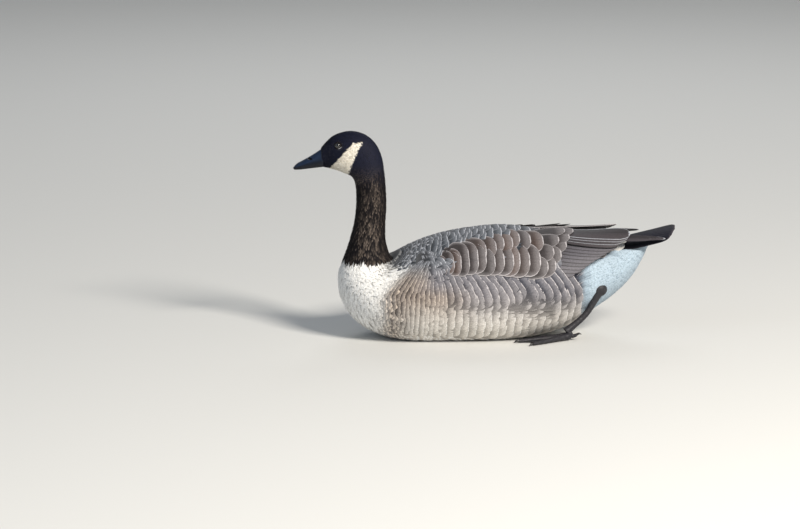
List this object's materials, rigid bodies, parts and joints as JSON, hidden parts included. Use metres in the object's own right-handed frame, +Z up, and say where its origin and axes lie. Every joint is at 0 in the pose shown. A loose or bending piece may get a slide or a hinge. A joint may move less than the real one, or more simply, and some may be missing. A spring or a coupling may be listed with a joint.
{
  "type": "canada goose",
  "caption": "Life-size still model of a goose resting on its belly, wings folded, neck upright, feet tucked under.",
  "frame": {"origin": "on the floor under the middle of the bird's outline box", "axes": "-X the way the bird faces, +Z up, -Y its left side"},
  "size_m": [0.6129, 0.2236, 0.3313],
  "materials": {
    "head_feathers": "short soft black feathers with a white cheek patch",
    "neck_feathers": "short soft black to brown-black feathers",
    "body_feathers": "barred grey-brown body feathers, white breast front and undertail",
    "wing_feathers": "grey-brown vanes with pale fringes, darker flight feathers",
    "scapular_feathers": "grey-brown vanes with pale square fringes",
    "tail_feathers": "black vanes, white coverts below",
    "bill_horn": "satin black horn",
    "eye": "wet dark brown",
    "leg_skin": "finely scaled black skin"
  },
  "bodies": {
    "root": {"head": "head_feathers", "neck": "neck_feathers", "torso": "body_feathers", "wing_left": "wing_feathers", "wing_right": "wing_feathers", "scapulars_left": "scapular_feathers", "scapulars_right": "scapular_feathers", "tail": "tail_feathers", "bill_upper": "bill_horn", "bill_lower": "bill_horn", "eye_left": "eye", "eye_right": "eye", "leg_left": "leg_skin", "leg_right": "leg_skin", "foot_left": "leg_skin", "foot_right": "leg_skin"}
  },
  "joints": []
}
